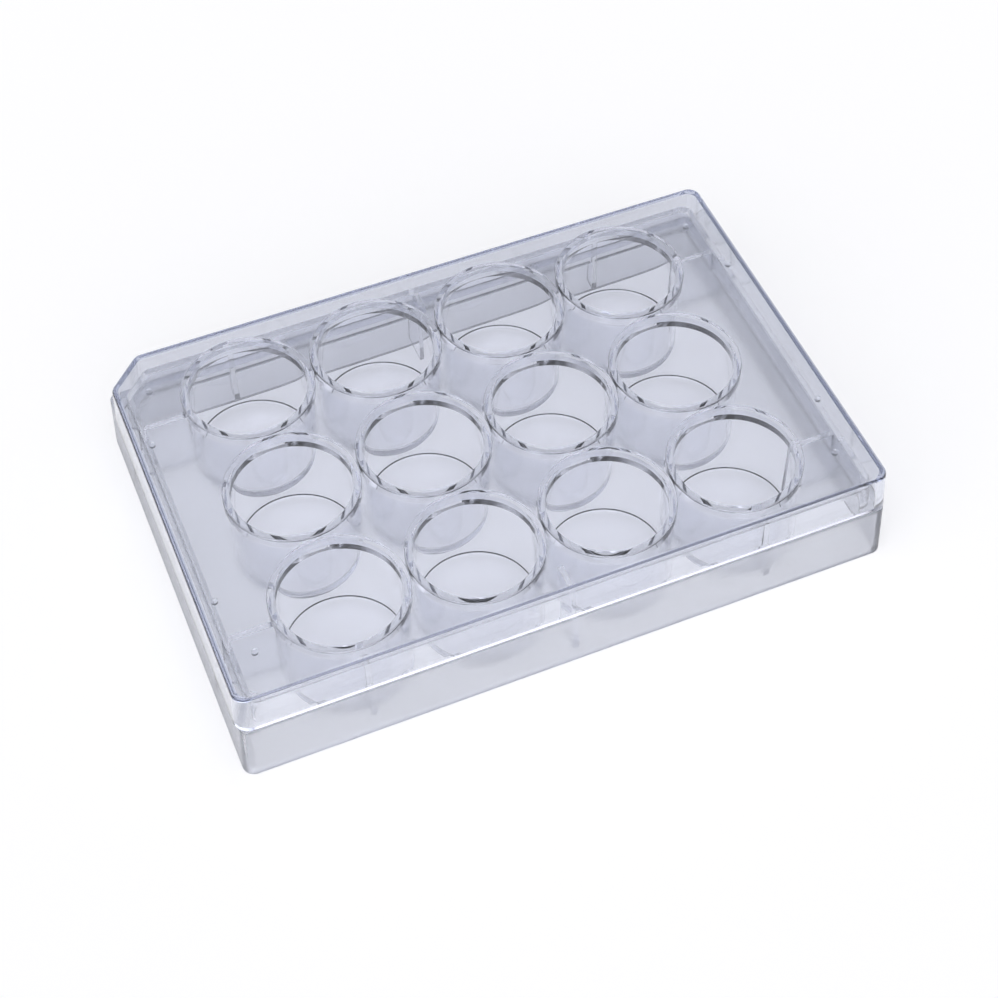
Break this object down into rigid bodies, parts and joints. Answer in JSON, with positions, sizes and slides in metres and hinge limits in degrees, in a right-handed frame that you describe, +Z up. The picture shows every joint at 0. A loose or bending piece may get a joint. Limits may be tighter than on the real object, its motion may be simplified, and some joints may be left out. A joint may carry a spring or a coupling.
{
  "type": "well plate",
  "caption": "Clear lidded culture plate: round flat-bottomed wells in a grid on a skirted base, with one slanted corner, under a loose shallow lid.",
  "frame": {"origin": "centre of the footprint, on the bench plane that the skirt stands on", "axes": "+X along the long side from column 1 to column 4, +Y from row C to row A, +Z up through the wells"},
  "size_m": [0.1278, 0.0854, 0.0219],
  "materials": {
    "clear_polystyrene": "clear, polished mould finish"
  },
  "bodies": {
    "root": {"plate": "clear_polystyrene", "lid": "clear_polystyrene"}
  },
  "joints": []
}
